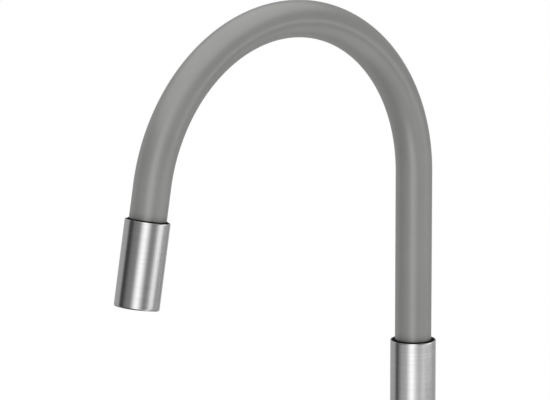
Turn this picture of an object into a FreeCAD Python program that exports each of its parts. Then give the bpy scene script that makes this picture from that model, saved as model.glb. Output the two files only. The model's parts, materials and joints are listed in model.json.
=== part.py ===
import FreeCAD, Part
import math
import os
import re
import Sketcher

# Kitchen mixer tap with a flexible silicone spout and a side lever.
# Millimetres. The origin is the centre of the base's underside, on the worktop.
# +Z is up, the spout reaches towards -Y (the user) and the lever stands on +X.

# Driving dimensions
SIZES = {
    # Worktop, shank and what clamps it from below
    "worktop_thickness": 30,
    "shank_diameter": 33,
    "shank_bore": 27,
    "shank_engagement": 13.5,
    "shank_top_gap": 0.5,
    "pilot_relief": 0.8,
    "pilot_length": 13,
    "washer_diameter": 52,
    "washer_slack": 1,
    "rubber_washer_thickness": 3,
    "steel_washer_thickness": 2,
    "nut_wall": 4,
    "nut_height": 10,
    "nut_chamfer": 1,
    # Base ring and its gasket
    "base_overhang": 3,
    "base_thickness": 6,
    "base_bevel": 1.5,
    "gasket_margin": 2.5,
    "gasket_width": 3,
    "gasket_depth": 2,
    # Main body
    "body_diameter": 44,
    "body_bevel": 0.8,
    "inlet_run": 21,
    "inlet_thread_bore": 9,
    "inlet_thread_depth": 12,
    "inlet_spacing": 13,
    "waterway_bore": 7,
    "outlet_waterway_bore": 8,
    "cavity_ceiling": 5.4,
    # Side barrel that holds the cartridge
    "barrel_diameter": 42,
    "barrel_bevel": 0.6,
    "cartridge_seat": 8,
    # Ceramic cartridge
    "cartridge_diameter": 35,
    "cartridge_wall": 1.5,
    "cartridge_base_thickness": 4,
    "port_drop": 4,
    "outlet_port_rise": 9,
    "seal_section": 1.4,
    "disc_thickness": 3.5,
    "moving_disc_diameter": 23,
    "disc_recess_diameter": 14,
    "disc_recess_depth": 2,
    "carrier_thickness": 5,
    "guide_flange_thickness": 3.7,
    "guide_gap": 0.3,
    "guide_neck_diameter": 20.8,
    "guide_neck_length": 16,
    "pivot_rise": 2.7,
    "pivot_pin_diameter": 3,
    "pivot_pin_inset": 0.9,
    "housing_lid": 3,
    "housing_height": 28,
    "cartridge_nut_height": 6,
    "cartridge_nut_slack": 1.6,
    # Lever stem
    "stem_diameter": 8,
    "stem_ball_diameter": 4.8,
    "stem_neck_diameter": 2.4,
    "stem_ball_floor": 0.2,
    "lift_angle": 25,
    # Cover ring and handle
    "cover_skirt": 1.8,
    "cover_lip": 0.35,
    "cover_rise": 2,
    "cover_land": 1.2,
    "cover_gap": 0.2,
    "hub_gap": 0.6,
    "hub_length": 21.4,
    "hub_bevel": 1,
    "dome_clearance": 0.4,
    "stem_socket_depth": 11,
    "lever_diameter": 10,
    "lever_tip_height": 56,
    "lever_tip_bevel": 1.2,
    "lever_thread_diameter": 6,
    "lever_thread_length": 10,
    "lever_seat_depth": 2,
    "grub_diameter": 5,
    "grub_length": 9,
    "plug_diameter": 7,
    "plug_thickness": 3,
    "plug_recess": 0.4,
    "hex_key": 2.5,
    "hex_key_depth": 2.5,
    # Swivel between the body and the spout
    "swivel_depth": 22,
    "swivel_diameter": 18,
    "swivel_bore": 10,
    "swivel_end_gap": 1,
    "oring_section": 2,
    "oring_groove_width": 2.4,
    "oring_first": 4,
    "oring_pitch": 6,
    "retaining_drop": 5.2,
    "retaining_groove_width": 4,
    "retaining_groove_depth": 1.4,
    "retaining_tip_diameter": 3,
    "retaining_screw_diameter": 5,
    "retaining_screw_recess": 1.2,
    "glide_thickness": 1,
    "glide_inset": 0.5,
    "swivel_flange_height": 12,
    "fitting_socket_depth": 7,
    # Collar tube
    "collar_gap": 2.4,
    "collar_wall": 0.6,
    "collar_insertion": 17.1,
    "rim_bevel": 0.15,
    # Hose: silicone sleeve over a support core over the water hose
    "hose_diameter": 12,
    "hose_wall": 2,
    "core_slack": 0.5,
    "core_wall": 2.8,
    "sleeve_slack": 0.2,
    "sleeve_wall": 2.5,
    "riser_above_rim": 112.3,
    "arch_radius": 113,
    "arch_angle": 170.07,
    "hose_above_head": 21.4,
    # Fittings at both ends of the water hose
    "fitting_spigot_diameter": 12,
    "fitting_flange_diameter": 16,
    "fitting_flange_height": 3,
    "barb_length": 18,
    "barb_depth": 0.4,
    "barb_count": 4,
    "barb_wall": 0.8,
    "ferrule_wall": 1.1,
    "ferrule_length": 14,
    "ferrule_offset": 2,
    "core_gap": 0.5,
    "collar_clamp_height": 12,
    "head_clamp_height": 8,
    "clamp_lip_recess": 0.2,
    # Spout head and aerator
    "head_gap": 1.9,
    "head_wall": 0.6,
    "sleeve_insertion": 4.2,
    "adapter_recess": 2,
    "adapter_height": 22,
    "aerator_diameter": 21.5,
    "aerator_wall": 2.1,
    "aerator_height": 9.5,
    "aerator_recess": 0.5,
    "aerator_gasket_thickness": 1,
    "insert_wall": 1,
    "insert_floor": 2,
    "insert_step": 0.5,
    "mesh_hole_diameter": 1.7,
    "mesh_ring_step": 2.6,
    # Clearances, measured on the radius
    "thread_clearance": 0.05,
    "running_clearance": 0.05,
    "seat_clearance": 0.05,
    "cartridge_clearance": 0.1,
    "ball_clearance": 0.2,
    "neck_clearance": 0.1,
    "soft_clearance": 0.3,
    "slide_gap": 0.1,
}

# Places and sizes that follow from the driving dimensions
PLACES = {
    # Heights on the column
    "washer_top": "-worktop_thickness",
    "steel_washer_top": "washer_top - rubber_washer_thickness",
    "nut_top": "steel_washer_top - steel_washer_thickness",
    "nut_bottom": "nut_top - nut_height",
    "shank_end": "nut_bottom - pilot_length",
    "shank_top": "base_thickness + shank_engagement",
    "socket_top": "shank_top + shank_top_gap",
    "barrel_axis": "socket_top + inlet_run + barrel_diameter / 2",
    "cavity_radius": "cartridge_diameter / 2 + cartridge_clearance",
    "swivel_floor": "barrel_axis + cavity_radius + cavity_ceiling",
    "swivel_bottom": "swivel_floor + swivel_end_gap",
    "body_top": "swivel_bottom + swivel_depth",
    "glide_top": "body_top + glide_thickness",
    "collar_bottom": "glide_top + slide_gap",
    "flange_top": "collar_bottom + swivel_flange_height",
    "retaining_height": "body_top - retaining_drop",
    # Hose ends on the column
    "low_barb_start": "flange_top + fitting_flange_height",
    "low_core_start": "low_barb_start + ferrule_offset + ferrule_length + core_gap",
    "low_clamp_top": "low_core_start + collar_clamp_height",
    "low_sleeve_start": "low_clamp_top + soft_clearance",
    "collar_rim": "low_sleeve_start + collar_insertion",
    "arch_base": "collar_rim + riser_above_rim",
    # Radii and diameters shared by neighbours
    "shank_radius": "shank_diameter / 2",
    "pilot_radius": "shank_radius - pilot_relief",
    "nut_flats": "shank_diameter + 2 * nut_wall",
    "base_radius": "body_diameter / 2 + base_overhang",
    "gasket_radius": "base_radius - gasket_margin",
    "swivel_radius": "swivel_diameter / 2",
    "oring_floor": "swivel_radius - oring_section",
    # The hose, from the inside out, and the tubes around it
    "hose_bore": "hose_diameter - 2 * hose_wall",
    "core_bore": "hose_diameter + 2 * core_slack",
    "core_diameter": "core_bore + 2 * core_wall",
    "sleeve_bore": "core_diameter + 2 * sleeve_slack",
    "sleeve_diameter": "sleeve_bore + 2 * sleeve_wall",
    "core_grip_radius": "core_diameter / 2 + seat_clearance",
    "collar_bore_radius": "sleeve_diameter / 2 + collar_gap",
    "collar_radius": "collar_bore_radius + collar_wall",
    "head_bore_radius": "sleeve_diameter / 2 + head_gap",
    "head_radius": "head_bore_radius + head_wall",
    "barb_root_radius": "hose_bore / 2 - barb_depth",
    "fitting_bore_radius": "barb_root_radius - barb_wall",
    # Spout head, measured up its own axis from the outlet face
    "adapter_top": "adapter_recess + adapter_height",
    "aerator_bottom": "adapter_recess + aerator_recess",
    "aerator_top": "aerator_bottom + aerator_height",
    "adapter_seat": "aerator_top + aerator_gasket_thickness",
    "head_barb_start": "adapter_top + fitting_flange_height",
    "head_core_end": "head_barb_start + ferrule_offset + ferrule_length + core_gap",
    "head_clamp_top": "head_core_end + head_clamp_height",
    "head_sleeve_end": "head_clamp_top + soft_clearance",
    "head_length": "head_sleeve_end + sleeve_insertion",
    "head_run": "head_length + hose_above_head",
    "head_tilt": "180 - arch_angle",
    "arch_end_y": "-arch_radius * (1 + cos(head_tilt))",
    "arch_end_z": "arch_base + arch_radius * sin(head_tilt)",
    "outlet_y": "arch_end_y - head_run * sin(head_tilt)",
    "outlet_z": "arch_end_z - head_run * cos(head_tilt)",
    # Cartridge, measured along the barrel from the column's axis
    "base_top": "cartridge_seat + cartridge_base_thickness",
    "fixed_disc_top": "base_top + disc_thickness",
    "moving_disc_top": "fixed_disc_top + disc_thickness",
    "carrier_top": "moving_disc_top + carrier_thickness",
    "guide_bottom": "carrier_top + guide_gap",
    "guide_flange_top": "guide_bottom + guide_flange_thickness",
    "guide_top": "guide_flange_top + guide_neck_length",
    "pivot": "guide_flange_top + pivot_rise",
    "housing_top": "base_top + housing_height",
    "cartridge_nut_top": "housing_top + cartridge_nut_height",
    "cartridge_nut_bore": "guide_neck_diameter + 2 * cartridge_nut_slack",
    "cover_start": "cartridge_nut_top + cover_gap",
    "barrel_reach": "cover_start + cover_skirt",
    "ball_centre": "moving_disc_top + stem_ball_floor + stem_ball_diameter / 2",
    "ball_arm": "pivot - ball_centre",
    "housing_bore_radius": "cartridge_diameter / 2 - cartridge_wall",
    # Handle
    "mouth_reach": "barrel_reach - pivot",
    "cover_mouth_radius": "cavity_radius - thread_clearance - cover_lip",
    "dome_radius": "sqrt(mouth_reach ^ 2 + cover_mouth_radius ^ 2)",
    "cover_top": "barrel_reach + cover_rise",
    "cover_top_radius": "sqrt(dome_radius ^ 2 - (cover_top - pivot) ^ 2)",
    "cover_bore_radius": "cover_top_radius - cover_land",
    "hub_start": "barrel_reach + hub_gap",
    "hub_end": "hub_start + hub_length",
    "hub_radius": "barrel_diameter / 2",
    "cavity_end": "pivot + dome_radius + dome_clearance",
    "stem_end": "cavity_end + stem_socket_depth - 1",
    "lever_place": "(cavity_end + hub_end) / 2 - 1",
    "lever_seat": "hub_radius - lever_seat_depth",
    "plug_face": "hub_radius - plug_recess",
    "plug_floor": "plug_face - plug_thickness",
}

doc = FreeCAD.newDocument("MixerTap")
sizes_sheet = doc.addObject("Spreadsheet::Sheet", "Sizes")
places_sheet = doc.addObject("Spreadsheet::Sheet", "Places")


def formula(text):
    """Points each name in a formula at the sheet that holds it."""
    def owner(match):
        word = match.group(0)
        if word in SIZES:
            return "Sizes." + word
        return "Places." + word if word in PLACES else word
    return re.sub(r"[a-z]\w*", owner, text)


for row, (name, value) in enumerate(SIZES.items(), 1):
    sizes_sheet.set("A%d" % row, name.replace("_", " "))
    sizes_sheet.set("B%d" % row, str(value))
    sizes_sheet.setAlias("B%d" % row, name)
doc.recompute()
for row, (name, text) in enumerate(PLACES.items(), 1):
    places_sheet.set("A%d" % row, name.replace("_", " "))
    places_sheet.set("B%d" % row, "=" + formula(text).replace("Places.", ""))
    places_sheet.setAlias("B%d" % row, name)
    doc.recompute()

# The three frames in which pieces are drawn: the upright column, the spout head
# (z up its own axis from the outlet face) and the barrel (z outwards, x up)
COLUMN = "placement(vector(0; 0; 0); rotation(vector(0; 0; 1); 0))"
HEAD = "placement(vector(0; outlet_y; outlet_z); rotation(vector(1; 0; 0); -head_tilt))"
BARREL = "placement(vector(0; 0; barrel_axis); rotation(vector(1; 0; 1); 180))"

# Turns that point a cylinder along x, y or z of its frame
TURNS = {
    "x": "rotation(vector(0; 1; 0); 90)",
    "y": "rotation(vector(1; 0; 0); -90)",
    "z": "rotation(vector(0; 0; 1); 0)",
}

nodes = []


def number(text):
    """The value of a formula now, as a plain number."""
    found = places_sheet.evalExpression(formula(text).replace("Places.", ""))
    return float(getattr(found, "Value", found))


def bind(thing, attribute, text):
    thing.setExpression(attribute, formula(text))


def new_body(label, frame):
    body = doc.addObject("PartDesign::Body", label)
    body.Label = label
    bind(body, "Placement", frame)
    nodes.append(body)
    return body


def new_sketch(body, role, name):
    plane = next(f for f in body.Origin.OriginFeatures if f.Role == role)
    sketch = body.newObject("Sketcher::SketchObject", name)
    sketch.AttachmentSupport = [(plane, "")]
    sketch.MapMode = "FlatFace"
    sketch.Visibility = False
    return sketch


def tie(sketch, kind, text, *places):
    """Adds a dimension to a sketch and binds it to a formula."""
    angle = kind == "Angle"
    value = math.radians(number(text)) if angle else number(text)
    index = sketch.addConstraint(Sketcher.Constraint(kind, *places, value))
    bind(sketch, "Constraints[%d]" % index, "%s * 1 deg" % text if angle else text)


def draw_outline(sketch, corners):
    """A closed outline of straight lines through corners given as formulas."""
    spots = [FreeCAD.Vector(number(x), number(y), 0) for x, y in corners]
    first = sketch.GeometryCount
    count = len(spots)
    for i in range(count):
        line = Part.LineSegment(spots[i], spots[(i + 1) % count])
        sketch.addGeometry(line, False)
    for i in range(count):
        following = first + (i + 1) % count
        sketch.addConstraint(Sketcher.Constraint("Coincident", first + i, 2, following, 1))
    for i, (x, y) in enumerate(corners):
        tie(sketch, "DistanceX", x, -1, 1, first + i, 1)
        tie(sketch, "DistanceY", y, -1, 1, first + i, 1)


def draw_circle(sketch, diameter, x="0", y="0"):
    centre = FreeCAD.Vector(number(x), number(y), 0)
    circle = Part.Circle(centre, FreeCAD.Vector(0, 0, 1), number(diameter) / 2)
    index = sketch.addGeometry(circle, False)
    tie(sketch, "DistanceX", x, -1, 1, index, 3)
    tie(sketch, "DistanceY", y, -1, 1, index, 3)
    tie(sketch, "Diameter", diameter, index)


def turned(label, frame, corners):
    """A piece turned about the z axis of its frame, from (radius, height) corners."""
    body = new_body(label, frame)
    sketch = new_sketch(body, "XZ_Plane", label + "_outline")
    draw_outline(sketch, corners)
    turn = body.newObject("PartDesign::Revolution", label + "_turned")
    turn.Profile = sketch
    turn.ReferenceAxis = (sketch, ["V_Axis"])
    turn.Angle = 360
    return body


def ring(label, frame, inner, outer, bottom, top):
    """A plain turned ring or tube."""
    return turned(label, frame, [(inner, bottom), (outer, bottom), (outer, top), (inner, top)])


def solid_step(body, kind, name, settings, spot, turn="z"):
    """Adds or cuts a primitive at a spot of the body's frame."""
    step = body.newObject("PartDesign::" + kind, body.Label + "_" + name)
    for attribute, text in settings.items():
        bind(step, attribute, text)
    where = "placement(vector(%s; %s; %s); %s)" % (*spot, TURNS[turn])
    bind(step, "Placement", where)
    return step


def bore(body, name, diameter, length, spot, turn="z"):
    settings = {"Radius": "(%s) / 2" % diameter, "Height": length}
    return solid_step(body, "SubtractiveCylinder", name, settings, spot, turn)


def rod_step(body, name, diameter, length, spot, turn="z"):
    settings = {"Radius": "(%s) / 2" % diameter, "Height": length}
    return solid_step(body, "AdditiveCylinder", name, settings, spot, turn)


def hex_socket(body, name, spot, turn):
    """A blind hexagon socket for a key, its mouth further along than its spot."""
    settings = {"Circumradius": "hex_key / sqrt(3)", "Height": "hex_key_depth + 1"}
    step = solid_step(body, "SubtractivePrism", name, settings, spot, turn)
    step.Polygon = 6
    return step


def torus_group(label, frame, ring_radius, section, spots):
    """Rubber rings of round section, as separate solids in one node."""
    rings = []
    for i, (x, y, z) in enumerate(spots, 1):
        torus = doc.addObject("Part::Torus", "%s_%d" % (label, i))
        bind(torus, "Radius1", ring_radius)
        bind(torus, "Radius2", "(%s) / 2" % section)
        bind(torus, "Placement.Base.x", x)
        bind(torus, "Placement.Base.y", y)
        bind(torus, "Placement.Base.z", z)
        rings.append(torus)
    group = doc.addObject("Part::Compound", label)
    group.Label = label
    group.Links = rings
    bind(group, "Placement", frame)
    nodes.append(group)
    return group


# The deck: what clamps the tap to the worktop

def make_shank():
    wall = "shank_bore / 2"
    return turned("shank", COLUMN, [
        (wall, "shank_end"), ("pilot_radius", "shank_end"),
        ("pilot_radius", "shank_end + pilot_length"),
        ("shank_radius", "shank_end + pilot_length"),
        ("shank_radius", "shank_top"), (wall, "shank_top")])


def make_washers():
    inner = "shank_radius + washer_slack"
    outer = "washer_diameter / 2"
    ring("rubber_washer", COLUMN, inner, outer, "steel_washer_top", "washer_top")
    ring("steel_washer", COLUMN, inner, outer, "nut_top", "steel_washer_top")


def make_shank_nut():
    body = new_body("shank_nut", COLUMN)
    corner = "nut_flats / sqrt(3)"
    settings = {"Circumradius": corner, "Height": "nut_height"}
    hexagon = solid_step(body, "AdditivePrism", "hexagon", settings, ("0", "0", "nut_bottom"))
    hexagon.Polygon = 6
    bore(body, "thread", "shank_diameter + 2 * thread_clearance", "nut_height + 2",
         ("0", "0", "nut_bottom - 1"))
    sketch = new_sketch(body, "XZ_Plane", "nut_corner_outline")
    far = corner + " + 1"
    flat = "nut_flats / 2"
    draw_outline(sketch, [(flat, "nut_bottom - 1"), (far, "nut_bottom - 1"),
                          (far, "nut_bottom + 2 * nut_chamfer"), (flat, "nut_bottom")])
    draw_outline(sketch, [(flat, "nut_top + 1"), (flat, "nut_top"),
                          (far, "nut_top - 2 * nut_chamfer"), (far, "nut_top + 1")])
    groove = body.newObject("PartDesign::Groove", "shank_nut_corners")
    groove.Profile = sketch
    groove.ReferenceAxis = (sketch, ["V_Axis"])
    groove.Angle = 360
    return body


def make_base():
    inner = "shank_radius + soft_clearance"
    outer = "base_radius"
    gasket_outer = "gasket_radius"
    gasket_inner = "gasket_radius - gasket_width"
    turned("base_ring", COLUMN, [
        (inner, "0"), (gasket_inner + " - seat_clearance", "0"),
        (gasket_inner + " - seat_clearance", "gasket_depth"),
        (gasket_outer + " + seat_clearance", "gasket_depth"),
        (gasket_outer + " + seat_clearance", "0"), (outer, "0"),
        (outer, "base_thickness - base_bevel"), (outer + " - base_bevel", "base_thickness"),
        (inner, "base_thickness")])
    ring("base_gasket", COLUMN, gasket_inner, gasket_outer, "0", "gasket_depth")


# The body: column, barrel and waterways

def make_main_body():
    outer = "body_diameter / 2"
    socket = "shank_radius + thread_clearance"
    body = turned("main_body", COLUMN, [
        ("0", "socket_top"), (socket, "socket_top"), (socket, "base_thickness"),
        (outer, "base_thickness"), (outer, "body_top - body_bevel"),
        (outer + " - body_bevel", "body_top"),
        ("swivel_radius + running_clearance", "body_top"),
        ("swivel_radius + running_clearance", "swivel_floor"), ("0", "swivel_floor")])
    rod_step(body, "barrel", "barrel_diameter", "barrel_reach - barrel_bevel",
             ("0", "0", "barrel_axis"), "x")
    lip = {"Radius1": "barrel_diameter / 2", "Radius2": "barrel_diameter / 2 - barrel_bevel",
           "Height": "barrel_bevel"}
    solid_step(body, "AdditiveCone", "barrel_lip", lip,
               ("barrel_reach - barrel_bevel", "0", "barrel_axis"), "x")
    # The barrel's root would stand in the swivel's socket, so the socket is bored again
    bore(body, "swivel_socket", "swivel_diameter + 2 * running_clearance",
         "body_top - swivel_floor", ("0", "0", "swivel_floor"))
    bore(body, "cartridge_bore", "2 * cavity_radius", "barrel_reach - cartridge_seat + 1",
         ("cartridge_seat", "0", "barrel_axis"), "x")
    ports = "barrel_axis - port_drop"
    for side, sign in (("hot", "-"), ("cold", "")):
        across = sign + "inlet_spacing / 2"
        bore(body, side + "_inlet", "inlet_thread_bore", "inlet_thread_depth + 0.5",
             ("0", across, "socket_top - 0.5"))
        bore(body, side + "_rise", "waterway_bore", ports + " - socket_top",
             ("0", across, "socket_top"))
        bore(body, side + "_port", "waterway_bore", "cartridge_seat + 1",
             ("0", across, ports), "x")
    bore(body, "outlet_port", "outlet_waterway_bore", "cartridge_seat + 1",
         ("0", "0", "barrel_axis + outlet_port_rise"), "x")
    bore(body, "outlet_rise", "outlet_waterway_bore", "swivel_floor - barrel_axis - outlet_port_rise + 1",
         ("0", "0", "barrel_axis + outlet_port_rise"))
    bore(body, "retaining_thread", "retaining_screw_diameter + 2 * thread_clearance",
         "body_diameter / 2", ("0", "swivel_radius - 1", "retaining_height"), "y")
    return body


def make_retaining_screw():
    body = new_body("spout_retaining_screw", COLUMN)
    tip = "swivel_radius - retaining_groove_depth + soft_clearance"
    shoulder = "swivel_radius + soft_clearance"
    head = "body_diameter / 2 - retaining_screw_recess"
    rod_step(body, "tip", "retaining_tip_diameter", "%s - (%s)" % (shoulder, tip),
             ("0", tip, "retaining_height"), "y")
    rod_step(body, "thread", "retaining_screw_diameter", "%s - (%s)" % (head, shoulder),
             ("0", shoulder, "retaining_height"), "y")
    hex_socket(body, "socket", ("0", head + " - hex_key_depth", "retaining_height"), "y")
    return body


# The cartridge and its ceramic discs

def port_holes(body, bottom, height, extra=""):
    """The two inlet ports and the outlet port, through a cartridge plate."""
    for side, sign in (("hot", ""), ("cold", "-")):
        bore(body, side + "_port", "waterway_bore" + extra, height,
             ("-port_drop", sign + "inlet_spacing / 2", bottom))
    bore(body, "outlet_port", "outlet_waterway_bore" + extra, height,
         ("outlet_port_rise", "0", bottom))


def make_cartridge():
    outer = "cartridge_diameter / 2"
    base = ring("cartridge_base", BARREL, "0", outer, "cartridge_seat", "base_top")
    port_holes(base, "cartridge_seat - 1", "cartridge_base_thickness + 2")
    seats = "outlet_waterway_bore / 2 + seal_section"
    spots = [("-port_drop", "inlet_spacing / 2"), ("-port_drop", "-inlet_spacing / 2"),
             ("outlet_port_rise", "0")]
    for i, (up, across) in enumerate(spots, 1):
        bore(base, "seal_seat_%d" % i, "2 * (%s + seat_clearance)" % seats, "seal_section + 1",
             (up, across, "cartridge_seat - 1"))
    middle = "cartridge_seat + seal_section / 2"
    torus_group("port_seals", BARREL, "outlet_waterway_bore / 2 + seal_section / 2", "seal_section",
                [(up, across, middle) for up, across in spots])
    neck = "guide_neck_diameter / 2 + neck_clearance"
    turned("cartridge_housing", BARREL, [
        (outer, "base_top"), (outer, "housing_top"), (neck, "housing_top"),
        (neck, "housing_top - housing_lid"), ("housing_bore_radius", "housing_top - housing_lid"),
        ("housing_bore_radius", "base_top")])
    disc = ring("fixed_disc", BARREL, "0", "housing_bore_radius - cartridge_clearance",
                "base_top", "fixed_disc_top")
    port_holes(disc, "base_top - 1", "disc_thickness + 2")


def make_mixing_disc():
    disc = ring("moving_disc", BARREL, "0", "moving_disc_diameter / 2",
                "fixed_disc_top", "moving_disc_top")
    bore(disc, "mixing_recess", "disc_recess_diameter", "disc_recess_depth + 1",
         ("0", "0", "fixed_disc_top - 1"))
    ring("disc_carrier", BARREL, "stem_ball_diameter / 2 + ball_clearance",
         "moving_disc_diameter / 2", "moving_disc_top", "carrier_top")


def make_spindle_guide():
    neck = "guide_neck_diameter / 2"
    flange = "housing_bore_radius - cartridge_clearance"
    body = turned("spindle_guide", BARREL, [
        ("0", "guide_bottom"), (flange, "guide_bottom"), (flange, "guide_flange_top"),
        (neck, "guide_flange_top"), (neck, "guide_top"), ("0", "guide_top")])
    sketch = new_sketch(body, "XZ_Plane", "stem_slot_outline")
    # The slot is as wide as the stem swings, from upright to fully lifted
    slack = "stem_diameter / 2 / cos(lift_angle) + soft_clearance"
    up = "stem_diameter / 2 + soft_clearance"
    down = "(%s) + (guide_top + 1 - pivot) * tan(lift_angle)" % slack
    back = "(%s) + (pivot - guide_bottom + 1) * tan(lift_angle)" % slack
    draw_outline(sketch, [
        ("-(%s)" % up, "guide_bottom - 1"), (back, "guide_bottom - 1"), (slack, "pivot"),
        (up, "pivot + 1"), (up, "guide_top + 1"), ("-(%s)" % down, "guide_top + 1"),
        ("-(%s)" % slack, "pivot")])
    slot = body.newObject("PartDesign::Pocket", "stem_slot")
    slot.Profile = sketch
    slot.Midplane = True
    bind(slot, "Length", "stem_diameter + 2 * running_clearance")
    bore(body, "pin_hole", "pivot_pin_diameter", "housing_bore_radius * 2 + 2",
         ("0", "-housing_bore_radius - 1", "pivot"), "y")
    pin = new_body("pivot_pin", BARREL)
    half = "(guide_neck_diameter / 2 - pivot_pin_inset)"
    rod_step(pin, "rod", "pivot_pin_diameter", "2 * %s" % half,
             ("0", "-%s" % half, "pivot"), "y")


def make_cartridge_nut_and_cover():
    thread = "cavity_radius - thread_clearance"
    ring("cartridge_nut", BARREL, "cartridge_nut_bore / 2", thread, "housing_top",
         "cartridge_nut_top")
    # The cover's sloping outside lies just within a ball about the pivot
    hole = "cover_bore_radius"
    turned("cover_ring", BARREL, [
        (hole, "cover_start"), (thread, "cover_start"),
        (thread, "barrel_reach"), ("cover_mouth_radius", "barrel_reach"),
        ("cover_top_radius", "cover_top"), (hole, "cover_top")])


# The handle

def make_lever_stem():
    body = turned("lever_stem", BARREL, [
        ("0", "ball_centre"), ("stem_neck_diameter / 2", "ball_centre"),
        ("stem_neck_diameter / 2", "pivot - stem_diameter / 2"),
        ("stem_diameter / 2", "pivot - stem_diameter / 4"),
        ("stem_diameter / 2", "stem_end"), ("0", "stem_end")])
    solid_step(body, "AdditiveSphere", "ball", {"Radius": "stem_ball_diameter / 2"},
               ("0", "0", "ball_centre"))
    bore(body, "pin_hole", "pivot_pin_diameter + 2 * running_clearance", "stem_diameter + 2",
         ("0", "-stem_diameter / 2 - 1", "pivot"), "y")
    return body


def make_handle_hub():
    outer = "hub_radius"
    body = turned("handle_hub", BARREL, [
        ("0", "hub_start"), (outer + " - hub_bevel / 2", "hub_start"),
        (outer, "hub_start + hub_bevel / 2"), (outer, "hub_end - hub_bevel"),
        (outer + " - hub_bevel", "hub_end"), ("0", "hub_end")])
    solid_step(body, "SubtractiveSphere", "dome", {"Radius": "dome_radius + dome_clearance"},
               ("0", "0", "pivot"))
    # Below, the hub is cut back by the lift angle so that it clears the barrel
    sketch = new_sketch(body, "XZ_Plane", "relief_outline")
    face = "(mouth_reach + hub_gap)"
    tilt = "lift_angle"
    start = "(%s * (1 - 1 / cos(%s))) / tan(%s) * -1" % (face, tilt, tilt)
    low = "hub_radius + 1"
    deep = "pivot + %s / cos(%s) + (%s) * tan(%s)" % (face, tilt, low, tilt)
    draw_outline(sketch, [
        (start, "hub_start"), ("-(%s)" % low, deep), ("-(%s)" % low, "hub_start - 1"),
        (start, "hub_start - 1")])
    relief = body.newObject("PartDesign::Pocket", "relief")
    relief.Profile = sketch
    relief.Midplane = True
    bind(relief, "Length", "2 * hub_radius + 2")
    bore(body, "stem_socket", "stem_diameter + 2 * seat_clearance",
         "stem_end + 0.5 - pivot", ("0", "0", "pivot"))
    bore(body, "lever_thread", "lever_thread_diameter + 2 * thread_clearance",
         "lever_thread_length + 1", ("lever_seat - lever_thread_length", "0", "lever_place"), "x")
    bore(body, "lever_seat", "lever_diameter + 2 * seat_clearance", "lever_seat_depth + 1",
         ("lever_seat", "0", "lever_place"), "x")
    bore(body, "grub_thread", "grub_diameter + 2 * thread_clearance", "hub_radius",
         ("0", "-hub_radius", "lever_place"), "y")
    bore(body, "plug_seat", "plug_diameter + 2 * seat_clearance", "hub_radius - plug_floor + 1",
         ("0", "-hub_radius - 1", "lever_place"), "y")
    return body


def make_lever_rod():
    body = new_body("lever_rod", BARREL)
    rod_step(body, "thread", "lever_thread_diameter", "lever_thread_length - 0.5",
             ("lever_seat - lever_thread_length + 0.5", "0", "lever_place"), "x")
    rod_step(body, "rod", "lever_diameter", "lever_tip_height - lever_tip_bevel - lever_seat",
             ("lever_seat", "0", "lever_place"), "x")
    tip = {"Radius1": "lever_diameter / 2", "Radius2": "lever_diameter / 2 - lever_tip_bevel",
           "Height": "lever_tip_bevel"}
    solid_step(body, "AdditiveCone", "tip", tip,
               ("lever_tip_height - lever_tip_bevel", "0", "lever_place"), "x")
    return body


def make_handle_fasteners():
    screw = new_body("handle_grub_screw", BARREL)
    inner = "stem_diameter / 2 + seat_clearance"
    rod_step(screw, "thread", "grub_diameter", "grub_length",
             ("0", "-(%s) - grub_length" % inner, "lever_place"), "y")
    settings = {"Circumradius": "hex_key / sqrt(3)", "Height": "hex_key_depth + 1"}
    key = solid_step(screw, "SubtractivePrism", "socket", settings,
                     ("0", "-(%s) - grub_length - 1" % inner, "lever_place"), "y")
    key.Polygon = 6
    plug = new_body("hub_plug", BARREL)
    rod_step(plug, "disc", "plug_diameter", "plug_thickness - soft_clearance",
             ("0", "-plug_face", "lever_place"), "y")


# The spout: swivel, collar, hose and head

def make_swivel():
    wall = "swivel_bore / 2"
    outer = "swivel_radius"
    half = "oring_groove_width / 2"
    floor = "oring_floor - seat_clearance"
    corners = [(wall, "swivel_bottom"), (outer, "swivel_bottom")]
    first = "swivel_bottom + oring_first"
    middles = [first, first + " + oring_pitch"]
    for middle in middles:
        corners += [(outer, "%s - %s" % (middle, half)), (floor, "%s - %s" % (middle, half)),
                    (floor, "%s + %s" % (middle, half)), (outer, "%s + %s" % (middle, half))]
    deep = "swivel_radius - retaining_groove_depth"
    low = "retaining_height - retaining_groove_width / 2"
    high = "retaining_height + retaining_groove_width / 2"
    flange = "collar_bore_radius - seat_clearance"
    socket = "fitting_spigot_diameter / 2 + seat_clearance"
    corners += [(outer, low), (deep, low), (deep, high), (outer, high),
                (outer, "collar_bottom"), (flange, "collar_bottom"), (flange, "flange_top"),
                (socket, "flange_top"), (socket, "flange_top - fitting_socket_depth"),
                (wall, "flange_top - fitting_socket_depth")]
    turned("swivel_stem", COLUMN, corners)
    torus_group("swivel_o_rings", COLUMN, "swivel_radius - oring_section / 2", "oring_section",
                [("0", "0", middle) for middle in middles])
    ring("glide_ring", COLUMN, "swivel_radius + soft_clearance", "collar_radius - glide_inset",
         "body_top", "glide_top")


def make_tube(label, frame, outer, wall, bottom, top, bevel):
    """A thin metal tube with its sharp edges broken."""
    inner = "%s - %s" % (outer, wall)
    return turned(label, frame, [
        (inner, bottom), ("%s - %s" % (outer, bevel), bottom),
        (outer, "%s + %s" % (bottom, bevel)), (outer, "%s - %s" % (top, bevel)),
        ("%s - %s" % (outer, bevel), top), ("%s + %s" % (inner, bevel), top),
        (inner, "%s - %s" % (top, bevel))])


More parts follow.
